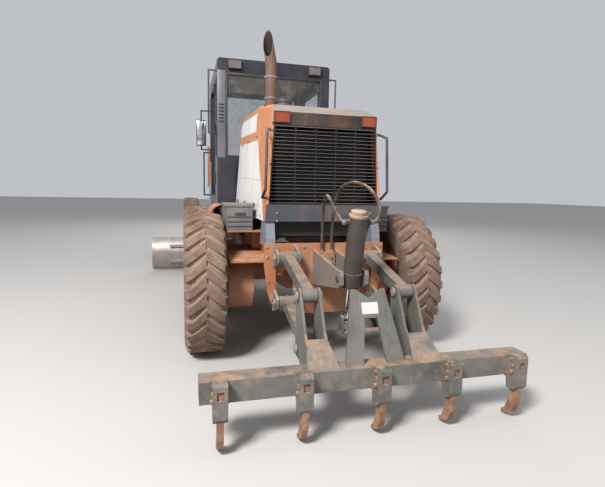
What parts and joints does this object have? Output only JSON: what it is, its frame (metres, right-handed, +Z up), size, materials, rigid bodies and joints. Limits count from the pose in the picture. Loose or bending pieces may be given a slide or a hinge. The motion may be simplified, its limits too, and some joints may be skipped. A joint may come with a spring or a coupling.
{
  "type": "motor grader",
  "caption": "Six-wheel articulated motor grader with a rear cab, an engine hood, a long arched front beam, a moldboard under a turning circle and a beam ripper at the back.",
  "frame": {"origin": "on the ground under the middle of the machine's length", "axes": "+X to the machine's right, +Y forward, +Z up"},
  "size_m": [3.66, 9.663, 3.34],
  "materials": {
    "orange_paint": "faded",
    "white_paint": "faded",
    "dark_paint": "satin",
    "black_steel": "worn",
    "ripper_paint": "worn",
    "rusty_steel": "rough",
    "blade_steel": "scuffed",
    "rod_chrome": "polished",
    "dusty_rubber": "matt",
    "rim_paint": "dusty",
    "hose_rubber": "matt",
    "black_plastic": "matt",
    "lamp_red": "gloss",
    "lamp_clear": "gloss",
    "tinted_glass": "clear",
    "seat_fabric": "matt",
    "engine_paint": "matt"
  },
  "bodies": {
    "rear": {"rear_frame": "orange_paint", "rear_axle": "orange_paint", "hood": "orange_paint", "side_panels": "white_paint", "grille": "black_steel", "tail_lamps": "lamp_red", "work_lamps": "lamp_clear", "engine_block": "engine_paint", "exhaust": "rusty_steel", "pre_cleaner": "black_plastic", "battery_boxes": "black_steel", "tanks": "black_steel", "platforms": "black_steel", "cab": "dark_paint", "cab_glass": "tinted_glass", "seat": "seat_fabric", "console": "black_plastic", "hand_rails": "black_steel", "mirrors": "black_plastic", "ripper_hose_left": "hose_rubber", "ripper_hose_right": "hose_rubber"},
    "door_left": {"door_left": "dark_paint", "door_glass_left": "tinted_glass"},
    "door_right": {"door_right": "dark_paint", "door_glass_right": "tinted_glass"},
    "wheel_left_back": {"tyre_left_back": "dusty_rubber", "rim_left_back": "rim_paint"},
    "wheel_left_mid": {"tyre_left_mid": "dusty_rubber", "rim_left_mid": "rim_paint"},
    "wheel_right_back": {"tyre_right_back": "dusty_rubber", "rim_right_back": "rim_paint"},
    "wheel_right_mid": {"tyre_right_mid": "dusty_rubber", "rim_right_mid": "rim_paint"},
    "front": {"front_frame": "orange_paint", "head_lamps": "lamp_clear", "front_axle": "orange_paint"},
    "lean_left": {"lean_bracket_left": "rusty_steel"},
    "lean_right": {"lean_bracket_right": "rusty_steel"},
    "lean_bar": {"lean_bar": "black_steel"},
    "knuckle_left": {"knuckle_left": "rusty_steel"},
    "knuckle_right": {"knuckle_right": "rusty_steel"},
    "tie_rod_stud": {"tie_rod_stud": "black_steel"},
    "tie_rod": {"tie_rod": "black_steel"},
    "wheel_left_front": {"tyre_left_front": "dusty_rubber", "rim_left_front": "rim_paint"},
    "wheel_right_front": {"tyre_right_front": "dusty_rubber", "rim_right_front": "rim_paint"},
    "drawbar": {"drawbar": "orange_paint"},
    "lift_barrels": {"lift_barrels": "orange_paint"},
    "lift_rods": {"lift_rods": "rod_chrome"},
    "turntable": {"turntable": "orange_paint"},
    "blade": {"blade": "blade_steel"},
    "ripper_lower_links": {"ripper_lower_links": "ripper_paint"},
    "ripper_upper_links": {"ripper_upper_links": "ripper_paint"},
    "ripper_beam": {"ripper_beam": "ripper_paint", "ripper_shanks": "rusty_steel"},
    "ripper_barrel": {"ripper_barrel": "black_steel"},
    "ripper_rod": {"ripper_rod": "rod_chrome"}
  },
  "joints": [
    {"name": "left_back_wheel", "type": "hinge", "parent": "rear", "child": "wheel_left_back", "pos_m": [-1.053, -2.8575, 0.684], "axis": [1, 0, 0], "continuous": true},
    {"name": "left_mid_wheel", "type": "hinge", "parent": "rear", "child": "wheel_left_mid", "pos_m": [-1.053, -1.2855, 0.684], "axis": [1, 0, 0], "continuous": true},
    {"name": "right_back_wheel", "type": "hinge", "parent": "rear", "child": "wheel_right_back", "pos_m": [1.053, -2.8575, 0.684], "axis": [1, 0, 0], "continuous": true},
    {"name": "right_mid_wheel", "type": "hinge", "parent": "rear", "child": "wheel_right_mid", "pos_m": [1.053, -1.2855, 0.684], "axis": [1, 0, 0], "continuous": true},
    {"name": "left_door", "type": "hinge", "parent": "rear", "child": "door_left", "pos_m": [-0.799, -0.7365, 2.3], "axis": [0, 0, 1], "range_deg": [0, 95]},
    {"name": "right_door", "type": "hinge", "parent": "rear", "child": "door_right", "pos_m": [0.799, -0.7365, 2.3], "axis": [0, 0, -1], "range_deg": [0, 95]},
    {"name": "articulation", "type": "hinge", "parent": "rear", "child": "front", "pos_m": [0, 0.6785, 0.9], "axis": [0, 0, 1], "range_deg": [-25, 25]},
    {"name": "wheel_lean", "type": "hinge", "parent": "front", "child": "lean_left", "pos_m": [-0.8, 4.1475, 0.4], "axis": [0, 1, 0], "range_deg": [-15, 15]},
    {"name": "right_lean", "type": "hinge", "parent": "front", "child": "lean_right", "pos_m": [0.8, 4.1475, 0.4], "axis": [0, 1, 0], "range_deg": [-15, 15]},
    {"name": "bar_pivot", "type": "hinge", "parent": "lean_left", "child": "lean_bar", "pos_m": [-0.8, 4.2895, 0.91], "axis": [0, 1, 0], "range_deg": [-15, 15]},
    {"name": "steering", "type": "hinge", "parent": "lean_left", "child": "knuckle_left", "pos_m": [-0.8, 4.1475, 0.6], "axis": [0, 0, 1], "range_deg": [-38, 38]},
    {"name": "right_steering", "type": "hinge", "parent": "lean_right", "child": "knuckle_right", "pos_m": [0.8, 4.1475, 0.6], "axis": [0, 0, 1], "range_deg": [-38, 38]},
    {"name": "stud_swivel", "type": "hinge", "parent": "knuckle_left", "child": "tie_rod_stud", "pos_m": [-0.8, 3.9075, 0.6], "axis": [0, 0, 1], "range_deg": [-38, 38]},
    {"name": "tie_rod_tilt", "type": "hinge", "parent": "tie_rod_stud", "child": "tie_rod", "pos_m": [-0.8, 3.9075, 0.6], "axis": [0, 1, 0], "range_deg": [-15, 15]},
    {"name": "left_front_wheel", "type": "hinge", "parent": "knuckle_left", "child": "wheel_left_front", "pos_m": [-1.053, 4.1475, 0.684], "axis": [1, 0, 0], "continuous": true},
    {"name": "right_front_wheel", "type": "hinge", "parent": "knuckle_right", "child": "wheel_right_front", "pos_m": [1.053, 4.1475, 0.684], "axis": [1, 0, 0], "continuous": true},
    {"name": "drawbar_lift", "type": "hinge", "parent": "front", "child": "drawbar", "pos_m": [0, 3.6485, 0.8], "axis": [-1, 0, 0], "range_deg": [-8, 8]},
    {"name": "lift_swing", "type": "hinge", "parent": "front", "child": "lift_barrels", "pos_m": [0.73, 1.4785, 1.75], "axis": [1, 0, 0], "range_deg": [-1, 1]},
    {"name": "lift_stroke", "type": "slide", "parent": "lift_barrels", "child": "lift_rods", "axis": [0, 0, -1], "range_m": [-0.31, 0.31]},
    {"name": "circle_turn", "type": "hinge", "parent": "drawbar", "child": "turntable", "pos_m": [0, 1.6485, 0.75], "axis": [0, 0, 1], "continuous": true},
    {"name": "blade_shift", "type": "slide", "parent": "turntable", "child": "blade", "axis": [1, 0, 0], "range_m": [-0.5, 0.5]},
    {"name": "ripper_lift", "type": "hinge", "parent": "rear", "child": "ripper_lower_links", "pos_m": [0.375, -3.6315, 0.64], "axis": [-1, 0, 0], "range_deg": [-24, 20]},
    {"name": "upper_link_swing", "type": "hinge", "parent": "rear", "child": "ripper_upper_links", "pos_m": [0.375, -3.6315, 1.03], "axis": [-1, 0, 0], "range_deg": [-24, 20]},
    {"name": "beam_pivot", "type": "hinge", "parent": "ripper_lower_links", "child": "ripper_beam", "pos_m": [0.375, -4.3115, 0.47], "axis": [-1, 0, 0], "range_deg": [-20, 24]},
    {"name": "cylinder_swing", "type": "hinge", "parent": "rear", "child": "ripper_barrel", "pos_m": [0, -4.1815, 0.95], "axis": [1, 0, 0], "range_deg": [-6, 6]},
    {"name": "cylinder_stroke", "type": "slide", "parent": "ripper_barrel", "child": "ripper_rod", "axis": [0, 0.1994, -0.9799], "range_m": [-0.2, 0.23]}
  ],
  "couplings": [
    {"joint": "right_lean", "follows": "wheel_lean", "ratio": 1},
    {"joint": "bar_pivot", "follows": "wheel_lean", "ratio": -1},
    {"joint": "right_steering", "follows": "steering", "ratio": 1},
    {"joint": "stud_swivel", "follows": "steering", "ratio": -1},
    {"joint": "tie_rod_tilt", "follows": "wheel_lean", "ratio": -1},
    {"joint": "lift_swing", "follows": "drawbar_lift", "ratio": 0.055},
    {"joint": "lift_stroke", "follows": "drawbar_lift", "m_per_rad": -2.1575},
    {"joint": "upper_link_swing", "follows": "ripper_lift", "ratio": 1},
    {"joint": "beam_pivot", "follows": "ripper_lift", "ratio": -1},
    {"joint": "cylinder_swing", "follows": "ripper_lift", "ratio": 0.115},
    {"joint": "cylinder_stroke", "follows": "ripper_lift", "m_per_rad": -0.4638}
  ]
}
